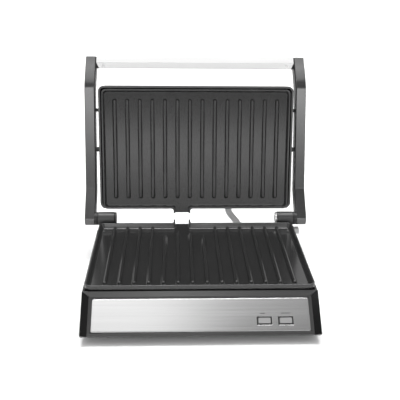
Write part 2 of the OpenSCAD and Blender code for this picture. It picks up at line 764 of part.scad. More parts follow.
module hinge_caps() color(rubber) opened() both_sides()
    bar_x(arm_out - 1.4, arm_out, 5.9, hinge_y, hinge_z);

module pivot_pins() color(rubber) opened() both_sides()
    bar_x(plate_half - lid_t - 1.5, arm_x + 6, pivot_r, pivot_y, pivot_z);

module stop_pins() color(rubber) opened() both_sides()
    bar_x(plate_half - lid_t - 0.5, arm_x + 6, stop_r, stop_y, stop_z);

// ---- handle, drawn closed ----

module handle_profile(x0, x1) translate([0, -tip_y, tip_z]) side_profile(x0, x1, handle_section);

// Plan of the corner that the end seat fills
module seat_plan() linear_extrude(40) polygon([
    [handle_half + 0.1, seat_front], [handle_half - seat_cut, seat_front + 11],
    [handle_half + 0.1, seat_front + 11]
]);

module tongue(grow) translate([0, -tip_y, tip_z])
    box([tongue_x - grow, 3.5 - grow, -0.8 - grow], [handle_half + 0.2, 14.4 + grow, 4 + grow]);

// On the bar's lower face, square to it
module at_handle_screws() both_sides() translate([handle_screw_x, -tip_y + 12.4, tip_z - 3.97])
    rotate([atan(1.5 / 7.1), 0, 0]) children();

module handle_bar() color(aluminium) opened() difference() {
    handle_profile(-handle_half, handle_half);
    both_sides() translate([0, -tip_y, tip_z - 20]) seat_plan();
    both_sides() tongue(0.1);
    at_handle_screws() translate([0, 0, -3]) cylinder(h = 11, r = screw_r + 0.15);
}

module handle_end_seats() color(rubber) opened() difference() {
    both_sides() {
        intersection() {
            handle_profile(tongue_x, handle_half);
            translate([0, -tip_y, tip_z - 20]) seat_plan();
        }
        intersection() {
            tongue(0);
            handle_profile(tongue_x - 1, handle_half);
        }
    }
    at_handle_screws() translate([0, 0, -1]) cylinder(h = 10, r = screw_r);
}

module handle_screws() color(steel) opened() at_handle_screws() {
    bar_z(0, 0, -0.9, 0, 2.1);
    bar_z(0, 0, 0, 6.4, screw_r - 0.02);
}

// ---- lid, drawn closed ----

lid_top = lid_rim_z + lid_h;
lid_r = 8;

module lid_shell() color(dark_plastic) opened() difference() {
    union() {
        difference() {
            slab(plate_w, 0, plate_d, lid_rim_z, lid_top, lid_r);
            slab(plate_w - 2 * lid_t, lid_t, plate_d - lid_t, lid_rim_z - 1, lid_top - lid_t, lid_r - lid_t);
        }
        at_posts() bar_z(0, 0, lid_rim_z + well + plate_t, lid_top - lid_t + 0.5, boss_r);
    }
    at_posts() {
        bar_z(0, 0, lid_rim_z + well + plate_t - 1, lid_top, screw_bore);
        bar_z(0, 0, lid_top - 0.9 - screw_head_h - 0.1, lid_top, screw_head_r + 0.1);
    }
    // the upper plate closes the rim on the hinge side
    box([-plate_half + lid_t, plate_d - lid_t - 3, lid_rim_z - 1],
        [plate_half - lid_t, plate_d + 1, lid_rim_z + plate_face_t + 0.2]);
    box([spout_x - spout_w / 2 - 2.5, plate_d - lid_t - 1, lid_rim_z],
        [spout_x + spout_w / 2 + 2.5, plate_d + 1, lid_rim_z + well + 3.5]);
    // recess for the top panel
    slab(plate_w - 26, 13, plate_d - 13, lid_top - 0.9, lid_top + 1, 6);
    // pivot bushes, stop slots and the way out for the lead
    both_sides() bar_x(plate_half - lid_t - 1, plate_half + 1, bush_r + 0.05, pivot_y, pivot_z);
    both_sides() box([plate_half - lid_t - 1, stop_y - stop_r - 0.6, stop_z - stop_r - 2.3],
        [plate_half + 1, stop_y + stop_r + 0.6, stop_z + stop_r + 2.3]);
    translate([lead_lid_x, plate_d + 1, boot_z]) rotate([90, 0, 0])
        linear_extrude(lid_t + 2) rounded_square(23, 15, 4);
}

module lid_top_panel() color(steel) opened()
    slab(plate_w - 26.4, 13.2, plate_d - 13.2, lid_top - 0.9, lid_top + 0.3, 5.8);

// Long screws under the top panel, through the posts into the upper plate
module lid_screws() color(steel) opened() at_posts() {
    bar_z(0, 0, lid_top - 1 - screw_head_h, lid_top - 1, screw_head_r);
    bar_z(0, 0, lid_rim_z + well + 1.3, lid_top - 1 - screw_head_h, screw_r);
}

module pivot_bushes() color(rubber) opened() both_sides() difference() {
    union() {
        bar_x(plate_half - lid_t, plate_half + 0.5, bush_r, pivot_y, pivot_z);
        bar_x(plate_half, plate_half + 1.4, flange_r, pivot_y, pivot_z);
    }
    bar_x(plate_half - lid_t - 1, plate_half + 3, pivot_r + play, pivot_y, pivot_z);
}

// Rubber boot where the lead leaves the lid, wide enough for the lid to float
module lid_lead_boot() color(rubber) opened() translate([lead_lid_x, plate_d + 1.5, boot_z])
    rotate([90, 0, 0]) difference() {
        union() {
            linear_extrude(1.5) rounded_square(26, 18, 5);
            linear_extrude(1.5 + lid_t) rounded_square(22.8, 14.8, 3.9);
        }
        translate([0, 0, -1]) linear_extrude(12) rounded_square(lead_w + 2, lead_core + 7.4, 3);
    }

// ---- one line for each node ----

base_tub();
bottom_cover();
fascia_frame();
fascia_panel();
left_side_cover();
right_side_cover();
lower_grill_plate();
lower_heating_element();
lower_reflector();
lower_plate_screws();
thermostat();
lower_thermal_fuse();
terminal_block();
key_board();
key_domes();
key_bezels();
left_key();
right_key();
rubber_feet();
bottom_screws();
left_hinge_block();
right_hinge_block();
hinge_block_screws();
power_cord_gland();
base_lead_gland();
lid_lead();
drip_tray();
release_slider();
release_spring();
left_arm();
right_arm();
left_arm_liner();
right_arm_liner();
left_hinge_shaft();
right_hinge_shaft();
hinge_shaft_cap();
hinge_shaft_nut();
hinge_caps();
pivot_pins();
stop_pins();
handle_bar();
handle_end_seats();
handle_screws();
lid_shell();
lid_top_panel();
upper_grill_plate();
upper_heating_element();
upper_reflector();
upper_plate_screws();
upper_thermal_fuse();
lid_screws();
pivot_bushes();
lid_lead_boot();
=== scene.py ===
"""Panini press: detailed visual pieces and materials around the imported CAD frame."""
import json
import math

import bmesh
import bpy
from mathutils import Matrix, Vector
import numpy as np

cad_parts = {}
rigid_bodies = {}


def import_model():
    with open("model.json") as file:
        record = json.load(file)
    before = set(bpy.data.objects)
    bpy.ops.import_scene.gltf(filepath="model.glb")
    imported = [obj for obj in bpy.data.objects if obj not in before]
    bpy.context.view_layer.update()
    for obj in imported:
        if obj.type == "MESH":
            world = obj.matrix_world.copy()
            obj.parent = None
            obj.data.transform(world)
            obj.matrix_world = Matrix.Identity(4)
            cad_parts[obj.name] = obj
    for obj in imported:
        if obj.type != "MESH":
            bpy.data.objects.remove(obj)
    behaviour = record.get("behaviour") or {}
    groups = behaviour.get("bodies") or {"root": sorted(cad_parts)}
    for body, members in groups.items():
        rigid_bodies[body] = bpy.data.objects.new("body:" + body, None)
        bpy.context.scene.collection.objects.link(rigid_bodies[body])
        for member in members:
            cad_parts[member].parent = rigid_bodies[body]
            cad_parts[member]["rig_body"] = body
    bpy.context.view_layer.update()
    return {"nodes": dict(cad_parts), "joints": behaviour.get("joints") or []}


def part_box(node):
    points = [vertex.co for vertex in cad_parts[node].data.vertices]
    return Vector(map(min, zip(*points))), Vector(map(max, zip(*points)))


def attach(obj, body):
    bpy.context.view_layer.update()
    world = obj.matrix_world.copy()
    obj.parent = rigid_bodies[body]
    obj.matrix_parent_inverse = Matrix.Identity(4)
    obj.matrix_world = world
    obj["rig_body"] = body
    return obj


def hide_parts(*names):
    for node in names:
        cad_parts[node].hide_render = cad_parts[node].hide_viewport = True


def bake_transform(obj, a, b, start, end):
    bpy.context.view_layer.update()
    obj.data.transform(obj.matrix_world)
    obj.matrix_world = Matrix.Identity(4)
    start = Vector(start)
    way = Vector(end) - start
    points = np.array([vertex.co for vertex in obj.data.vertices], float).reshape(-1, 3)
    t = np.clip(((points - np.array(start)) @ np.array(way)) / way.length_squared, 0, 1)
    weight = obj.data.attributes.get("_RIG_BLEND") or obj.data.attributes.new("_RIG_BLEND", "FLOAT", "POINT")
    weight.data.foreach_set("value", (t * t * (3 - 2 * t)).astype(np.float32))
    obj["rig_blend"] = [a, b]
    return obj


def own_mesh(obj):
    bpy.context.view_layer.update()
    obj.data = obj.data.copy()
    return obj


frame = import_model()
nodes = frame["nodes"]
joints = {j["name"]: j for j in frame["joints"]}

# ---------------------------------------------------------------- frames
# Bench frame in mm: y = 0 at the lower plate's front edge, z = 0 on the table, lid drawn closed.
PLATE_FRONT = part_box("lower_grill_plate")[0].y * 1000
HINGE = Vector(joints["arm_hinge"]["pos_m"])
OPEN_DEG = joints["arm_hinge"]["range_deg"][1]
BENCH = Matrix.Scale(0.001, 4) @ Matrix.Translation((0, PLATE_FRONT, 0))
SWING = Matrix.Translation(HINGE) @ Matrix.Rotation(math.radians(-OPEN_DEG), 4, "X") @ Matrix.Translation(-HINGE)
CLOSED = SWING @ BENCH
FASCIA_DEG = 41.4
SLOPE = BENCH @ Matrix.Translation((0, -31.9, 13.2)) @ Matrix.Rotation(math.radians(FASCIA_DEG), 4, "X")
HINGE_Y, HINGE_Z = 167.0, 50.8


def bench(x, y, z):
    return BENCH @ Vector((x, y, z))


# ---------------------------------------------------------------- camera
cam_data = bpy.data.cameras.new("camera")
cam = bpy.data.objects.new("camera", cam_data)
bpy.context.scene.collection.objects.link(cam)
cam_data.lens = 58.86
cam_data.sensor_width = 36
cam_data.clip_start = 0.01
cam_data.dof.use_dof = False
yaw, pitch, roll = math.radians(2.34), math.radians(23.03), math.radians(0.80)
forward = Vector((math.sin(yaw) * math.cos(pitch), math.cos(yaw) * math.cos(pitch), -math.sin(pitch)))
level = Vector((math.cos(yaw), -math.sin(yaw), 0))
over = level.cross(forward)
cam_x = math.cos(roll) * level + math.sin(roll) * over
cam_y = -math.sin(roll) * level + math.cos(roll) * over
cam.matrix_world = Matrix.Translation(bench(-26.3, -596.2, 400.9)) @ Matrix(
    (cam_x, cam_y, -forward)).transposed().to_4x4()
bpy.context.scene.camera = cam

# ---------------------------------------------------------------- mesh helpers


def smooth(me, degrees):
    """Smooth shading, sharp only over the given angle."""
    me.polygons.foreach_set("use_smooth", [True] * len(me.polygons))
    bm = bmesh.new()
    bm.from_mesh(me)
    limit = math.radians(degrees)
    for e in bm.edges:
        e.smooth = not (len(e.link_faces) == 2 and e.calc_face_angle(0) > limit)
    bm.to_mesh(me)
    bm.free()


def piece(name, bm, matrix, body, material, replaces=(), angle=35, bevel=0, segments=2, shade=True):
    """Turns a bmesh in mm into a finished piece riding on a body."""
    bmesh.ops.recalc_face_normals(bm, faces=bm.faces)
    me = bpy.data.meshes.new(name)
    bm.to_mesh(me)
    bm.free()
    me.transform(matrix)
    if matrix.determinant() < 0:
        me.flip_normals()
    ob = bpy.data.objects.new(name, me)
    bpy.context.scene.collection.objects.link(ob)
    me.materials.append(material)
    if bevel:
        add_bevel(ob, bevel, segments)
    if shade:
        smooth(ob.data, angle)
    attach(ob, body)
    if replaces:
        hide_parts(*replaces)
    return ob


def bake(ob):
    """Applies every modifier."""
    dg = bpy.context.evaluated_depsgraph_get()
    me = bpy.data.meshes.new_from_object(ob.evaluated_get(dg), preserve_all_data_layers=True, depsgraph=dg)
    old = ob.data
    ob.modifiers.clear()
    ob.data = me
    me.name = ob.name
    if old.users == 0:
        bpy.data.meshes.remove(old)


def add_bevel(ob, width_mm, segments=2, angle=28):
    m = ob.modifiers.new("bevel", "BEVEL")
    m.width = width_mm / 1000
    m.segments = segments
    m.limit_method = "ANGLE"
    m.angle_limit = math.radians(angle)
    m.use_clamp_overlap = True
    m.miter_outer = "MITER_ARC"
    w = ob.modifiers.new("normals", "WEIGHTED_NORMAL")
    w.keep_sharp = False
    ob.data.polygons.foreach_set("use_smooth", [True] * len(ob.data.polygons))
    bake(ob)


def soften(node, material, bevel=0.5, segments=2, name=None, angle=35):
    """A piece with the CAD node's own shape, its corners rounded like a moulding's."""
    body = nodes[node]["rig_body"]
    bm = bmesh.new()
    bm.from_mesh(nodes[node].data)
    bmesh.ops.scale(bm, vec=(1000, 1000, 1000), verts=bm.verts)
    bmesh.ops.remove_doubles(bm, verts=bm.verts, dist=0.004)
    bmesh.ops.dissolve_limit(bm, angle_limit=math.radians(1.5), verts=bm.verts, edges=bm.edges)
    return piece(name or node + "_skin", bm, Matrix.Scale(0.001, 4), body, material, (node,),
                 bevel=bevel, segments=segments, angle=angle, shade=not bevel)


def loft(bm, rings, closed=True, cap_start=False, cap_end=False):
    """Skins a list of point rings."""
    vs = [[bm.verts.new(p) for p in r] for r in rings]
    n = len(vs[0])
    for a, b in zip(vs, vs[1:]):
        for k in range(n if closed else n - 1):
            bm.faces.new((a[k], a[(k + 1) % n], b[(k + 1) % n], b[k]))
    if cap_start:
        bm.faces.new(vs[0])
    if cap_end:
        bm.faces.new(vs[-1])
    return vs


def prism(bm, outline, x0, x1):
    """A (y, z) outline extruded along x."""
    return loft(bm, [[(x, y, z) for y, z in outline] for x in (x0, x1)], cap_start=True, cap_end=True)


def slab_box(bm, a, b):
    (x0, y0, z0), (x1, y1, z1) = a, b
    loft(bm, [[(x0, y0, z), (x1, y0, z), (x1, y1, z), (x0, y1, z)] for z in (z0, z1)],
         cap_start=True, cap_end=True)


def arc(cx, cy, r, a0, a1, n):
    return [(cx + r * math.cos(math.radians(a0 + (a1 - a0) * i / n)),
             cy + r * math.sin(math.radians(a0 + (a1 - a0) * i / n))) for i in range(n + 1)]


def round_rect(x0, x1, y0, y1, r_front, r_back, n=8):
    """Points round a rectangle, anticlockwise, with their outward normals."""
    out = []
    for cx, cy, r, a in ((x1 - r_front, y0 + r_front, r_front, -90), (x1 - r_back, y1 - r_back, r_back, 0),
                         (x0 + r_back, y1 - r_back, r_back, 90), (x0 + r_front, y0 + r_front, r_front, 180)):
        for i in range(n + 1):
            t = math.radians(a + 90 * i / n)
            out.append(((cx + r * math.cos(t), cy + r * math.sin(t)), (math.cos(t), math.sin(t))))
    return out


def offset_ring(path, d, z):
    """The path moved inwards by d, at height z."""
    return [(p[0] - n[0] * d, p[1] - n[1] * d, z) for p, n in path]


def boolean(ob, cutter_bm, matrix, operation="DIFFERENCE"):
    me = bpy.data.meshes.new("cutter")
    bmesh.ops.recalc_face_normals(cutter_bm, faces=cutter_bm.faces)
    cutter_bm.to_mesh(me)
    cutter_bm.free()
    me.transform(matrix)
    cutter = bpy.data.objects.new("cutter", me)
    bpy.context.scene.collection.objects.link(cutter)
    m = ob.modifiers.new("cut", "BOOLEAN")
    m.operation = operation
    m.solver = "EXACT"
    m.use_self = True
    m.object = cutter
    bake(ob)
    bpy.data.objects.remove(cutter)
    bpy.data.meshes.remove(me)


def solid(name, bm, matrix):
    """An unfinished object, for booleans before its bevel."""
    bmesh.ops.recalc_face_normals(bm, faces=bm.faces)
    me = bpy.data.meshes.new(name)
    bm.to_mesh(me)
    bm.free()
    me.transform(matrix)
    ob = bpy.data.objects.new(name, me)
    bpy.context.scene.collection.objects.link(ob)
    return ob


CREASE_DEG = 14  # joined pieces round every crease sharper than this


def finish_piece(ob, body, material, replaces=(), bevel=0, segments=2, angle=35):
    ob.data.materials.clear()
    ob.data.materials.append(material)
    if bevel:
        add_bevel(ob, bevel, segments, CREASE_DEG)
    else:
        smooth(ob.data, angle)
    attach(ob, body)
    if replaces:
        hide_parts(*replaces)
    return ob


# ---------------------------------------------------------------- materials


def fill_ramp(ramp, stops):
    """Grey stops, from (place, value) pairs."""
    ramp.elements.remove(ramp.elements[1])
    ramp.elements[0].position = stops[0][0]
    ramp.elements[0].color = (stops[0][1],) * 3 + (1,)
    for at, v in stops[1:]:
        ramp.elements.new(at).color = (v, v, v, 1)


class Shader:
    """A principled material with a few procedural layers."""

    def __init__(self, name, base, roughness, metallic=0.0, specular=0.5, coat=0.0, coat_roughness=0.1):
        self.mat = bpy.data.materials.new(name)
        self.mat.use_nodes = True
        self.nt = self.mat.node_tree
        self.bsdf = self.nt.nodes["Principled BSDF"]
        self.base, self.rough = base, roughness
        self.bsdf.inputs["Base Color"].default_value = (base, base, base, 1)
        self.bsdf.inputs["Roughness"].default_value = roughness
        self.bsdf.inputs["Metallic"].default_value = metallic
        self.bsdf.inputs["Specular IOR Level"].default_value = specular
        self.bsdf.inputs["Coat Weight"].default_value = coat
        self.bsdf.inputs["Coat Roughness"].default_value = coat_roughness
        self.where = self.add("ShaderNodeTexCoord").outputs["Object"]
        self.height = None

    def add(self, kind, **values):
        n = self.nt.nodes.new(kind)
        for k, v in values.items():
            setattr(n, k, v)
        return n

    def link(self, a, b):
        self.nt.links.new(a, b)

    def stretched(self, scale, turn=(0, 0, 0)):
        m = self.add("ShaderNodeMapping")
        m.inputs["Scale"].default_value = scale
        m.inputs["Rotation"].default_value = turn
        self.link(self.where, m.inputs["Vector"])
        return m.outputs["Vector"]

    def noise(self, scale, detail=3, stretch=None, turn=(0, 0, 0), roughness=0.55):
        n = self.add("ShaderNodeTexNoise")
        n.inputs["Scale"].default_value = scale
        n.inputs["Detail"].default_value = detail
        n.inputs["Roughness"].default_value = roughness
        self.link(self.stretched(stretch, turn) if stretch else self.where, n.inputs["Vector"])
        return n.outputs["Fac"]

    def ramp(self, fac, stops):
        r = self.add("ShaderNodeValToRGB")
        fill_ramp(r.color_ramp, stops)
        self.link(fac, r.inputs["Fac"])
        return r.outputs["Color"]

    def spread(self, fac, low, high):
        m = self.add("ShaderNodeMapRange")
        m.inputs["To Min"].default_value = low
        m.inputs["To Max"].default_value = high
        self.link(fac, m.inputs["Value"])
        return m.outputs["Result"]

    def math(self, op, a, b):
        m = self.add("ShaderNodeMath", operation=op)
        for s, v in zip(m.inputs, (a, b)):
            if isinstance(v, (int, float)):
                s.default_value = v
            else:
                self.link(v, s)
        return m.outputs[0]

    def colour(self, fac, low, high):
        """Base colour varying between low and high times the base."""
        self.link(self.ramp(fac, [(0.25, self.base * low), (0.75, self.base * high)]),
                  self.bsdf.inputs["Base Color"])
        return self

    def roughen(self, fac, low, high):
        self.link(self.spread(fac, self.rough * low, self.rough * high), self.bsdf.inputs["Roughness"])
        return self

    def bump(self, fac, strength, distance_mm):
        b = self.add("ShaderNodeBump")
        b.inputs["Strength"].default_value = strength
        b.inputs["Distance"].default_value = distance_mm / 1000
        self.link(fac, b.inputs["Height"])
        if self.height is not None:
            self.link(self.height, b.inputs["Normal"])
        self.height = b.outputs["Normal"]
        self.link(self.height, self.bsdf.inputs["Normal"])
        return self


def moulded(name, base, roughness, specular=0.5, grain=0.25, coat=0.0, metallic=0.0):
    """Moulded plastic: fine spark-eroded grain, slow tone drift and uneven gloss."""
    s = Shader(name, base, roughness, metallic=metallic, specular=specular, coat=coat)
    slow = s.noise(22, 2)
    fine = s.noise(2600, 2)
    s.colour(slow, 0.9, 1.1).roughen(s.noise(260, 3), 0.88, 1.14)
    s.bump(fine, grain, 0.05)
    return s.mat


def nonstick(name):
    """Cast plate with a sprayed coat: orange-peel and mineral flecks."""
    s = Shader(name, 0.023, 0.15, specular=0.6)
    fleck = s.noise(1500, 2, roughness=0.7)
    dots = s.ramp(fleck, [(0.40, 0.7), (0.60, 1.0)])
    slow = s.noise(30, 2)
    tone = s.math("MULTIPLY", dots, s.spread(slow, 0.9, 1.12))
    light = s.ramp(fleck, [(0.64, 0.0), (0.72, 0.012)])
    tinted = s.math("ADD", s.math("MULTIPLY", tone, s.base), light)
    s.link(tinted, s.bsdf.inputs["Base Color"])
    s.roughen(s.noise(420, 3), 0.85, 1.2)
    s.bump(s.noise(900, 3), 0.15, 0.03)
    return s.mat


def brushed(name, base, roughness, along=(4, 900, 900), strength=0.25, turn=(0, 0, 0), anisotropic=0.7):
    """Metal with brush lines along one direction."""
    s = Shader(name, base, roughness, metallic=1.0, specular=0.5)
    s.bsdf.inputs["Anisotropic"].default_value = anisotropic
    lines = s.noise(1.0, 4, stretch=along, turn=turn, roughness=0.7)
    broad = s.noise(1.0, 2, stretch=tuple(v / 6 for v in along), turn=turn)
    mixed = s.math("ADD", s.math("MULTIPLY", lines, 0.7), s.math("MULTIPLY", broad, 0.3))
    s.colour(mixed, 0.86, 1.08).roughen(mixed, 0.8, 1.25)
    s.bump(lines, strength, 0.02)
    return s.mat


def turned(name, base, roughness, metallic=1.0):
    """Plated or turned steel."""
    s = Shader(name, base, roughness, metallic=metallic)
    n = s.noise(700, 3)
    s.colour(s.noise(60, 3), 0.85, 1.1).roughen(n, 0.8, 1.3).bump(n, 0.12, 0.02)
    return s.mat


M = {
    "nonstick": nonstick("nonstick_coat"),
    "arm": moulded("arm_satin_plastic", 0.11, 0.17, specular=0.5, grain=0.03, metallic=0.85),
    "dark": moulded("dark_moulded_plastic", 0.020, 0.45, grain=0.4),
    "shell": moulded("lid_shell_plastic", 0.055, 0.42, grain=0.15),
    "black_gloss": moulded("black_gloss_plastic", 0.002, 0.12, grain=0.02, specular=0.35),
    "band": moulded("fascia_band_plastic", 0.030, 0.24, grain=0.05, coat=0.3),
    "hinge": moulded("hinge_satin_plastic", 0.030, 0.42, specular=0.55, grain=0.15),
    "rubber": moulded("black_rubber", 0.012, 0.65, grain=0.5),
    "liner": moulded("black_liner", 0.008, 0.5, grain=0.3),
    "panel": brushed("brushed_steel_panel", 0.695, 0.15, along=(5, 1500, 1500), strength=0.06, anisotropic=0.3),
    "lid_panel": brushed("brushed_steel_lid", 0.55, 0.36, along=(5, 1500, 1500), strength=0.3),
    "handle": brushed("satin_aluminium", 0.56, 0.22, along=(6, 1800, 1800), strength=0.12, anisotropic=0.3),
    "steel": turned("zinc_plated_steel", 0.55, 0.28),
    "pin": turned("blackened_steel", 0.02, 0.35, metallic=0.0),
    "element": turned("heat_stained_steel", 0.20, 0.45),
    "sheet": turned("aluminised_sheet", 0.55, 0.40),
    "grey": moulded("light_grey_plastic", 0.50, 0.45, grain=0.3),
    "lead": moulded("grey_silicone_lead", 0.68, 0.5, grain=0.2),
    "key": moulded("key_plastic", 0.24, 0.35, grain=0.2),
    "board": moulded("board_laminate", 0.05, 0.35, grain=0.2),
    "mark": moulded("printed_mark", 0.08, 0.5, grain=0.1),
}

# ---------------------------------------------------------------- lead between base and lid
LEAD = [(43, 193.8, 62.5), (43, 193, 59), (43, 192, 55), (43.4, 191.2, 51.5), (44.6, 189.8, 48.5),
        (46.8, 187.8, 45.8), (49.8, 185.2, 43), (53, 182, 40), (55.8, 178.8, 36.8), (58, 175.6, 33.6),
        (59.4, 172.6, 31.2), (60, 169.6, 30.1), (60, 166, 30), (60, 160, 30)]
LEAD_W, LEAD_T = 8.4, 4.2


def spline(points, per):
    """Catmull-Rom through the points."""
    pts = [Vector(p) for p in points]
    out = []
    for i in range(len(pts) - 1):
        p0, p1, p2, p3 = pts[max(i - 1, 0)], pts[i], pts[i + 1], pts[min(i + 2, len(pts) - 1)]
        for k in range(per):
            t = k / per
            out.append(0.5 * ((2 * p1) + (p2 - p0) * t + (2 * p0 - 5 * p1 + 4 * p2 - p3) * t * t
                              + (3 * p1 - p0 - 3 * p2 + p3) * t ** 3))
    out.append(pts[-1])
    return out


def lead_section(steps=12):
    """Flat twin: two round cores joined by a web."""
    r = LEAD_T / 2
    reach = LEAD_W / 2 - r
    right = [(reach + r * math.cos(a), r * math.sin(a))
             for a in (math.radians(-128 + 256 * k / steps) for k in range(steps + 1))]
    return right + [(-x, -y) for x, y in right]


lead_path = spline(LEAD, 4)
bm = bmesh.new()
rings = []
for i, p in enumerate(lead_path):
    t = (lead_path[min(i + 1, len(lead_path) - 1)] - lead_path[max(i - 1, 0)]).normalized()
    u = (Vector((1, 0, 0)) - t * t.x).normalized()
    v = t.cross(u)
    rings.append([p + u * a + v * b for a, b in lead_section()])
loft(bm, rings, cap_start=True, cap_end=True)
lead_m = [BENCH @ p for p in lead_path]
lead_length = sum((b - a).length for a, b in zip(lead_m, lead_m[1:]))
bmesh.ops.recalc_face_normals(bm, faces=bm.faces)
me = bpy.data.meshes.new("lid_lead_twin")
bm.to_mesh(me)
bm.free()
me.transform(BENCH)
lead = bpy.data.objects.new("lid_lead_twin", me)
bpy.context.scene.collection.objects.link(lead)
me.materials.append(M["lead"])
smooth(me, 50)
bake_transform(lead, "base", "arms", start=tuple(bench(60, 170, 30)), end=tuple(bench(43, 193, 57)))
# the turn is shared out by length, so that the lead bends evenly round the hinge
HELD_LOW, HELD_HIGH = 9.0, 8.0
start_s, end_s = HELD_LOW, lead_length * 1000 - HELD_HIGH
along = 0.0
ring_t = []
for i, p in enumerate(lead_path):
    if i:
        along += (lead_path[i] - lead_path[i - 1]).length
    ring_t.append(along)
total = ring_t[-1]
weights = []
for s_mm in ring_t:
    t = min(max(((total - s_mm) - start_s) / (end_s - start_s), 0), 1)
    weights += [t * t * (3 - 2 * t)] * len(rings[0])
me.attributes["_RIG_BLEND"].data.foreach_set("value", weights)
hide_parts("lid_lead")

# ---------------------------------------------------------------- grill plates
RIBS, RIB_PITCH, RIB_W, RIB_H = 14, 15.7, 4.4, 3.2
WELL = 6.0
# plate wall, from the underside's edge over the rim to the floor: distance inwards, height
WALL = [(5.5, -9.5), (3.6, -9.4), (3.1, -8.9), (3.0, -5.2), (2.6, -4.8), (0.5, -4.8), (0.12, -4.65),
        (0.0, -4.3), (0.0, -0.7), (0.12, -0.25), (0.4, -0.05), (0.8, 0.0), (1.5, 0.0), (1.9, -0.12),
        (2.2, -0.5), (3.9, -4.7), (4.3, -5.4), (4.9, -5.85), (5.6, -6.0), (6.0, -6.0)]
WALL_TOP, WALL_FROM = 2.2, 14
RIM, SPOUT_STEEP, ROOT = 1.9, 0.25, 3.0


def plate_ring(x0, x1, y0, y1, r, spout, half, reach, d, z):
    """The plate's outline moved inwards by d, from the spout's mouth round to it; the spout's walls are steeper."""
    mouth = y1 + reach
    r = max(r - 0.6 * d, 2.4)
    half -= min(d, RIM) + max(d - RIM, 0) * SPOUT_STEEP
    x0, x1, y0, y1 = x0 + d, x1 - d, y0 + d, y1 - d
    bend = arc(spout + half + ROOT, y1 + ROOT, ROOT, 180, 270, 6)
    right = [(spout + half, mouth), (spout + half, (mouth + y1 + ROOT) / 2)] + bend
    rect = [p for p, _ in round_rect(x0, x1, y0, y1, r, r, 8)]
    out = list(right)
    for corner in (rect[9:18], rect[0:9], rect[27:36], rect[18:27]):
        (ax, ay), (bx, by) = out[-1], corner[-1]
        out += [(ax + (bx - ax) * k, ay + (by - ay) * k) for k in (0.25, 0.5, 0.75)]
        out += corner[::-1]
    out += [(2 * spout - x, y) for x, y in right[::-1]]
    return [(x, y, z) for x, y in out]


def rib_rings(x, y0, y1):
    """A bar with round ends, a rounded top and a small fillet at its foot."""
    shape = [(-1.0, -0.35), (-0.75, 0.02), (-0.35, 0.16)]
    for k in range(9):
        a = math.radians(9 + 9 * k)
        shape.append((RIB_W / 2 * (1 - math.cos(a) ** 0.75), RIB_H * math.sin(a) ** 0.9))
    rings = []
    for inset, z in shape:
        r = RIB_W / 2 - inset
        ring = [(x + r * math.cos(a), y1 - RIB_W / 2 + r * math.sin(a), z - WELL)
                for a in (math.pi * k / 10 for k in range(11))]
        ring += [(x - r * math.cos(a), y0 + RIB_W / 2 - r * math.sin(a), z - WELL)
                 for a in (math.pi * k / 10 for k in range(11))]
        rings.append(ring)
    return rings


def grill_plate(x0, x1, y0, y1, r, spout, half, reach, slant, ribs):
    """A cast plate with its ribs; slant below 1 makes the well's wall steeper."""
    bm = bmesh.new()
    wall = [(WALL_TOP + (d - WALL_TOP) * slant if i > WALL_FROM else d, z) for i, (d, z) in enumerate(WALL)]
    rings = loft(bm, [plate_ring(x0, x1, y0, y1, r, spout, half, reach, d, z) for d, z in wall], closed=False)
    bm.faces.new(rings[-1])
    bm.faces.new(rings[0])
    bm.faces.new([v[0] for v in rings] + [v[-1] for v in rings][::-1])
    for x, ya, yb in ribs:
        loft(bm, rib_rings(x, ya, yb), cap_start=True, cap_end=True)
    return bm


def drain(x):
    """How far a rib stops short of the rear, to leave a way to the spout."""
    return 13 + 0.45 * abs(x + 18) if abs(x + 18) < 1.7 * RIB_PITCH else -1.0


rib_xs = [(i - (RIBS - 1) / 2) * RIB_PITCH for i in range(RIBS)]
lower = grill_plate(-122, 122, 0, 155.6, 6, -18, 10.6, 9.4, 1.0,
                    [(x, 12, 150.6 - drain(x)) for x in rib_xs])
piece("lower_plate_casting", lower, BENCH @ Matrix.Translation((0, 0, 50)), "base", M["nonstick"],
      ("lower_grill_plate",), angle=40)
LID_RIM = 54.5
upper = grill_plate(-118.3, 118.3, 3.8, 155.4, 5.5, -17.9, 10.8, 5.9, 0.6, [(x, 16.5, 142.1) for x in rib_xs])
piece("upper_plate_casting", upper, CLOSED @ Matrix.Translation((0, 0, LID_RIM)) @ Matrix.Scale(-1, 4, (0, 0, 1)),
      "lid", M["nonstick"], ("upper_grill_plate",), angle=40)

# ---------------------------------------------------------------- lid shell and top panel
# from the inside over the rim to the lid's top and its panel recess: distance inwards, height
SHELL = [(4.5, 33.4), (3.2, 33.0), (2.5, 32.0), (2.5, 0.5), (2.2, 0.1), (1.7, 0.0), (0.7, 0.0), (0.2, 0.2),
         (0.0, 0.7), (0.0, 30.0), (0.15, 31.6), (0.7, 33.3), (1.7, 34.7), (3.1, 35.6), (4.8, 36.0), (11.9, 36.0),
         (12.4, 35.9), (12.6, 35.6), (12.6, 35.05)]
lid_path = round_rect(-122, 122, 0, 155.7, 7, 9, 10)
bm = bmesh.new()
loft(bm, [offset_ring(lid_path, d, z) for d, z in SHELL], cap_start=True, cap_end=True)
shell = solid("lid_shell_moulding", bm, CLOSED @ Matrix.Translation((0, 0, LID_RIM)))
cut = bmesh.new()
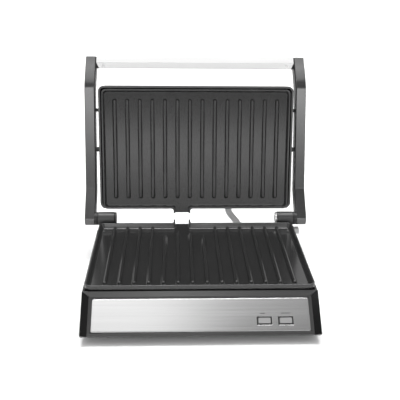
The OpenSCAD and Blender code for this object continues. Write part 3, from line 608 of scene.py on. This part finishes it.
# room for the plate's rear rim and its spout, then the stop pins' slots
notch = [(-116.5, -1), (116.5, -1), (116.5, 5), (-6.4, 5), (-6.4, 9.6), (-28.6, 9.6), (-28.6, 5), (-116.5, 5)]
loft(cut, [[(x, y, z) for x, z in notch] for y in (152, 157)], cap_start=True, cap_end=True)
STOP_Y, STOP_Z, SLOT_L, SLOT_H = 31, 24.2, 5.6, 9.0
for side in (-1, 1):
    slab_box(cut, (side * 120.5, STOP_Y - SLOT_L / 2, STOP_Z - SLOT_H / 2),
             (side * 124, STOP_Y + SLOT_L / 2, STOP_Z + SLOT_H / 2))
boolean(shell, cut, CLOSED @ Matrix.Translation((0, 0, LID_RIM)))
finish_piece(shell, "lid", M["shell"], ("lid_shell",), angle=32)

bm = bmesh.new()
top_path = round_rect(-108.8, 108.8, 13.2, 142.5, 5.8, 5.8, 8)
loft(bm, [offset_ring(top_path, d, z) for d, z in ((3, 35.1), (0, 35.1), (0, 35.9), (0.12, 36.15), (0.45, 36.3))],
     cap_start=True, cap_end=True)
piece("lid_top_panel_sheet", bm, CLOSED @ Matrix.Translation((0, 0, LID_RIM)), "lid", M["lid_panel"],
      ("lid_top_panel",), angle=20)

# ---------------------------------------------------------------- arms
ARM_X, ARM_W, ARM_D, LINER = 127.8, 13.3, 16.0, 0.8
CAP_R, CAP_DEEP, HINGE_R = 6.0, 1.5, 8.5
# the arm's underside, from the hinge over the two bends to the tip
UNDER = [(HINGE_Y - 1.5, HINGE_Z - 8.3), (130.5, 62.5), (3.5, 73.0), (-37.0, 98.0)]


def arm_over(d):
    """The underside moved up by d, with mitred corners."""
    pts = [Vector(p) for p in UNDER]
    normals = []
    for a, b in zip(pts, pts[1:]):
        t = (b - a).normalized()
        n = Vector((t.y, -t.x))
        normals.append(n if n.y > 0 else -n)
    out = []
    for i, p in enumerate(pts):
        n1, n2 = normals[max(i - 1, 0)], normals[min(i, 2)]
        m = (n1 + n2).normalized()
        out.append(p + m * (d / m.dot(n1)))
    return out


def tip_curve(a, b, n=14):
    """From the bend to the tip, curving most beside the bend."""
    length = (b - a).length
    side = Vector((-(b - a).y, (b - a).x)) / length
    return [tuple(a + (b - a) * t + side * length * t * (1 - t) * 0.27 * (1 - t))
            for t in (k / n for k in range(n + 1))]


def arm_outline():
    """Underside, tip, upper side and the round hinge end."""
    under, top = [Vector(p) for p in UNDER], arm_over(ARM_D)
    a0 = math.degrees(math.atan2(top[0].y - HINGE_Z, top[0].x - HINGE_Y))
    a1 = math.degrees(math.atan2(under[0].y - HINGE_Z, under[0].x - HINGE_Y))
    hinge = arc(HINGE_Y, HINGE_Z, HINGE_R, a0, a1, 16)
    return [tuple(under[1])] + tip_curve(under[2], under[3]) + [tuple(p) for p in reversed(top[1:])] + hinge


def ring_x(r, x, y=HINGE_Y, z=HINGE_Z, n=40):
    return [(x, y + r * math.cos(2 * math.pi * k / n), z + r * math.sin(2 * math.pi * k / n)) for k in range(n)]


def turned_part(bm, profile, y=HINGE_Y, z=HINGE_Z, n=40, side=1):
    """A round piece on an axis along x, from (x, radius) pairs."""
    return loft(bm, [ring_x(r, side * x, y, z, n) for x, r in profile], cap_start=True, cap_end=True)


for side, word in ((1, "right"), (-1, "left")):
    bm = bmesh.new()
    prism(bm, arm_outline(), side * (ARM_X + LINER), side * (ARM_X + ARM_W))
    arm = solid(word + "_arm_moulding", bm, CLOSED)
    cut = bmesh.new()
    turned_part(cut, [(ARM_X + ARM_W - CAP_DEEP, CAP_R), (ARM_X + ARM_W + 2, CAP_R)], side=side)
    boolean(arm, cut, CLOSED)
    finish_piece(arm, "arms", M["arm"], (word + "_arm",), bevel=0.9, segments=3)
    bm = bmesh.new()
    turned_part(bm, [(124.2, 7.6), (124.35, 8.0), (124.8, 8.2), (127.6, 8.2), (129.6, 8.2)], side=side)
    piece(word + "_arm_boss", bm, CLOSED, "arms", M["liner"])
    soften(word + "_arm_liner", M["liner"], 0.25)
    soften(word + "_hinge_block", M["hinge"], 0.6, 3)
    soften(word + "_side_cover", M["black_gloss"], 0.45, 3)

# ---------------------------------------------------------------- handle
TIP_Y, TIP_Z = 37.0, 98.0
BAR_HALF = 127.6
# the bar's section, from the arm tip
GRIP = [(0, 0), (8, -4.9), (15.1, -3.4), (15.8, 0.2), (14.2, 6.6), (9.8, 8.4), (4.6, 7.4), (1.2, 1.9)]
bm = bmesh.new()
prism(bm, [(y - TIP_Y, z + TIP_Z) for y, z in GRIP], -BAR_HALF, BAR_HALF)
grip = solid("handle_bar_extrusion", bm, CLOSED)
cut = bmesh.new()
# slanted seats for the end pieces
for side in (-1, 1):
    plan = [(127.9 * side, 7.6 - TIP_Y), (123.2 * side, 19 - TIP_Y), (127.9 * side, 19.5 - TIP_Y)]
    loft(cut, [[(x, y, z) for x, y in plan] for z in (TIP_Z - 12, TIP_Z + 14)], cap_start=True, cap_end=True)
boolean(grip, cut, CLOSED)
finish_piece(grip, "arms", M["handle"], ("handle_bar",), bevel=0.5, segments=3)
soften("handle_end_seats", M["liner"], 0.2)

# ---------------------------------------------------------------- fascia
soften("fascia_frame", M["band"], 0.5, 3)
PANEL_W, PANEL_Y0, PANEL_Y1, PANEL_T = 226.8, 0.7, 35.9, 1.2
KEY_W, KEY_L, KEY_X, KEY_PITCH, KEY_UP = 15.8, 9.0, 65.9, 22.3, 11.6
CORNER = 1.5
xs = [-PANEL_W / 2 + CORNER, PANEL_W / 2 - CORNER]
for i in (0, 1):
    xs += [KEY_X + i * KEY_PITCH - KEY_W / 2, KEY_X + i * KEY_PITCH + KEY_W / 2]
xs = sorted(xs + [-PANEL_W / 2 + CORNER + k * (KEY_X + PANEL_W / 2 - 12) / 8 for k in range(1, 8)])
ys = [PANEL_Y0 + CORNER, KEY_UP - KEY_L / 2, KEY_UP + KEY_L / 2, PANEL_Y1 - CORNER]
holes = [(KEY_X - KEY_W / 2, ys[1]), (KEY_X + KEY_PITCH - KEY_W / 2, ys[1])]


def steel_panel():
    """A sheet of flat cells round the two key holes, with rounded corners and edges."""
    bm = bmesh.new()
    for x0, x1 in zip(xs, xs[1:]):
        for y0, y1 in zip(ys, ys[1:]):
            if (x0, y0) not in holes:
                bm.faces.new([bm.verts.new((x, y, -PANEL_T)) for x, y in ((x0, y0), (x1, y0), (x1, y1), (x0, y1))])
    for x0, x1 in zip(xs, xs[1:]):
        for y, d in ((ys[0], -CORNER), (ys[-1], CORNER)):
            bm.faces.new([bm.verts.new(v + (-PANEL_T,)) for v in ((x0, y), (x1, y), (x1, y + d), (x0, y + d))])
    for y0, y1 in zip(ys, ys[1:]):
        for x, d in ((xs[0], -CORNER), (xs[-1], CORNER)):
            bm.faces.new([bm.verts.new(v + (-PANEL_T,)) for v in ((x, y0), (x, y1), (x + d, y1), (x + d, y0))])
    for x, y, a in ((xs[0], ys[0], 180), (xs[-1], ys[0], 270), (xs[-1], ys[-1], 0), (xs[0], ys[-1], 90)):
        fan = [(x, y)] + arc(x, y, CORNER, a, a + 90, 5)
        bm.faces.new([bm.verts.new(v + (-PANEL_T,)) for v in fan])
    bmesh.ops.remove_doubles(bm, verts=bm.verts, dist=0.001)
    bmesh.ops.recalc_face_normals(bm, faces=bm.faces)
    skin = bmesh.ops.extrude_face_region(bm, geom=list(bm.faces), use_keep_orig=True)
    raised = [g for g in skin["geom"] if isinstance(g, bmesh.types.BMVert)]
    bmesh.ops.translate(bm, vec=(0, 0, PANEL_T), verts=raised)
    return bm


piece("fascia_steel_panel", steel_panel(), SLOPE, "base", M["panel"], ("fascia_panel",),
      bevel=0.35, segments=3, shade=False)
# a thin black ring filling the groove round the panel, painted shade in place of the groove's own shadow: distance
# inwards, height
GROOVE_SHADE_SECTION = [(0.1, -0.9), (-0.75, -0.9), (-0.85, -0.1), (-0.7, 0.06), (-0.1, 0.06), (0.1, -0.1)]
bm = bmesh.new()
groove_shade_path = round_rect(-PANEL_W / 2, PANEL_W / 2, PANEL_Y0, PANEL_Y1, CORNER, CORNER, 5)
groove_shade_rings = loft(bm, [offset_ring(groove_shade_path, d, z) for d, z in GROOVE_SHADE_SECTION])
for k, v in enumerate(groove_shade_rings[0]):
    j = (k + 1) % len(groove_shade_path)
    bm.faces.new((groove_shade_rings[-1][k], groove_shade_rings[-1][j], groove_shade_rings[0][j], v))
piece("fascia_panel_groove_shade", bm, SLOPE, "base", M["liner"])
soften("key_bezels", M["rubber"], 0.2)
soften("left_key", M["key"], 0.35, 3)
soften("right_key", M["key"], 0.35, 3)
# two plain dashes over the keys
bm = bmesh.new()
for x, w in ((64.0, 5.2), (88.2, 9.4)):
    slab_box(bm, (x - w / 2, 19.0, 0.0), (x + w / 2, 20.0, 0.05))
piece("fascia_marks", bm, SLOPE, "base", M["mark"])

# ---------------------------------------------------------------- everything else
for node, material, slot, bevel in (
    ("base_tub", "dark", "dark_plastic", 0.5),
    ("bottom_cover", "dark", "dark_plastic", 0.4),
    ("drip_tray", "dark", "dark_plastic", 0.4),
    ("release_slider", "grey", "grey_plastic", 0.35),
    ("rubber_feet", "rubber", "black_rubber", 0.7),
    ("power_cord_gland", "rubber", "black_rubber", 0.3),
    ("base_lead_gland", "rubber", "black_rubber", 0.4),
    ("lid_lead_boot", "rubber", "black_rubber", 0.35),
    ("hinge_caps", "liner", "black_rubber", 0.3),
    ("hinge_shaft_cap", "liner", "black_rubber", 0.5),
    ("hinge_shaft_nut", "steel", "screw_steel", 0.15),
    ("pivot_bushes", "rubber", "black_rubber", 0.3),
    ("terminal_block", "grey", "grey_plastic", 0.4),
    ("thermostat", "sheet", "sheet_steel", 0.3),
):
    soften(node, M[material], bevel)

# CAD nodes that keep their own shape
KEPT = {"steel": ("left_hinge_shaft", "right_hinge_shaft", "hinge_block_screws", "bottom_screws", "handle_screws",
                  "lid_screws", "lower_plate_screws", "upper_plate_screws", "release_spring"),
        "pin": ("pivot_pins", "stop_pins"),
        "element": ("lower_heating_element", "upper_heating_element"),
        "sheet": ("lower_reflector", "upper_reflector", "lower_thermal_fuse", "upper_thermal_fuse"),
        "board": ("key_board",),
        "rubber": ("key_domes",)}
for material, names in KEPT.items():
    for n in names:
        nodes[n].data.materials.clear()
        nodes[n].data.materials.append(M[material])

# the spring gets a mesh of its own
spring = nodes["release_spring"]
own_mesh(spring)

# ---------------------------------------------------------------- floor, light and world
bm = bmesh.new()
bmesh.ops.create_grid(bm, x_segments=1, y_segments=1, size=6)
me = bpy.data.meshes.new("floor")
bm.to_mesh(me)
bm.free()
floor = bpy.data.objects.new("floor", me)
bpy.context.scene.collection.objects.link(floor)
floor_shader = Shader("pale_floor", 0.90, 0.7)
floor_shader.colour(floor_shader.noise(3, 2), 0.995, 1.005)
me.materials.append(floor_shader.mat)

# A white studio as brightness by direction: sine of the elevation, sideways from -1 to 1, and front to back.
FRONT = [(-0.05, 0.5), (0.0, 0.7), (0.06, 1.0), (0.085, 3.0), (0.125, 3.0), (0.145, 0.4), (0.18, 0.08),
         (0.21, 0.4), (0.276, 1.25), (0.318, 2.05), (0.345, 3.4), (0.42, 3.4), (0.50, 0.8), (0.56, 0.4),
         (0.84, 0.32), (0.90, 0.4), (0.94, 1.75), (1.0, 1.75)]
WINGS = [(-0.05, 0.3), (0.0, 0.5), (0.06, 0.8), (0.09, 2.2), (0.12, 2.2), (0.15, 0.2), (0.20, 0.15), (0.32, 0.5),
         (0.45, 0.9), (0.60, 0.9), (0.90, 0.7), (0.96, 1.0), (1.0, 1.0)]
BACK = [(-0.05, 1.0), (0.80, 1.0), (0.91, 1.2), (0.935, 8.0), (0.96, 18.0), (0.988, 18.0), (0.997, 1.2),
        (1.0, 1.2)]
SIDES = [(-0.20, 1.45), (-0.05, 1.4), (0.12, 0.36), (0.30, 0.25)]
SPAN = [(-0.45, 0.0), (-0.35, 1.0), (0.35, 1.0), (0.45, 0.0)]
PANEL_BAND = [(0.862, 0.0), (0.880, 1.0), (0.905, 1.0), (0.92, 0.0)]
TURN = [(0.02, 1.0), (0.10, 0.0)]
STRIP = [(0.50, 0.0), (0.53, 1.0), (0.60, 1.0), (0.63, 0.0)]
GLINT = [(-0.16, 0.7), (-0.05, 2.6), (-0.01, 4.2), (0.03, 3.2), (0.09, 1.2), (0.20, 0.4)]
world = bpy.data.worlds.new("studio")
bpy.context.scene.world = world
world.use_nodes = True
sky = world.node_tree
way = sky.nodes.new("ShaderNodeSeparateXYZ")
sky.links.new(sky.nodes.new("ShaderNodeTexCoord").outputs["Generated"], way.inputs[0])


def by(axis, stops):
    """Brightness along one axis of the view direction."""
    lo, hi = stops[0][0], stops[-1][0]
    m = sky.nodes.new("ShaderNodeMapRange")
    m.inputs["From Min"].default_value = lo
    m.inputs["From Max"].default_value = hi
    sky.links.new(way.outputs[axis], m.inputs["Value"])
    r = sky.nodes.new("ShaderNodeValToRGB")
    r.color_ramp.interpolation = "EASE"
    fill_ramp(r.color_ramp, [((at - lo) / (hi - lo), v) for at, v in stops])
    sky.links.new(m.outputs["Result"], r.inputs["Fac"])
    return r.outputs["Color"]


def mixed(fac, a, b):
    """a where fac is 0, b where it is 1."""
    m = sky.nodes.new("ShaderNodeMix")
    m.data_type = "RGBA"
    sky.links.new(fac, m.inputs["Factor"])
    sky.links.new(a, m.inputs["A"])
    sky.links.new(b, m.inputs["B"])
    return m.outputs["Result"]


middle = mixed(by("Z", STRIP), mixed(by("Z", PANEL_BAND), by("Z", FRONT), by("X", SIDES)), by("X", GLINT))
front = mixed(by("X", SPAN), by("Z", WINGS), middle)
studio = mixed(by("Y", TURN), by("Z", BACK), front)
# seen directly, the studio is one plain white
plain = sky.nodes.new("ShaderNodeRGB")
plain.outputs[0].default_value = (1.0, 1.0, 1.0, 1)
sky.links.new(mixed(sky.nodes.new("ShaderNodeLightPath").outputs["Is Camera Ray"], studio, plain.outputs[0]),
              sky.nodes["Background"].inputs["Color"])

bpy.context.scene.view_settings.view_transform = "Standard"
bpy.context.scene.view_settings.look = "None"
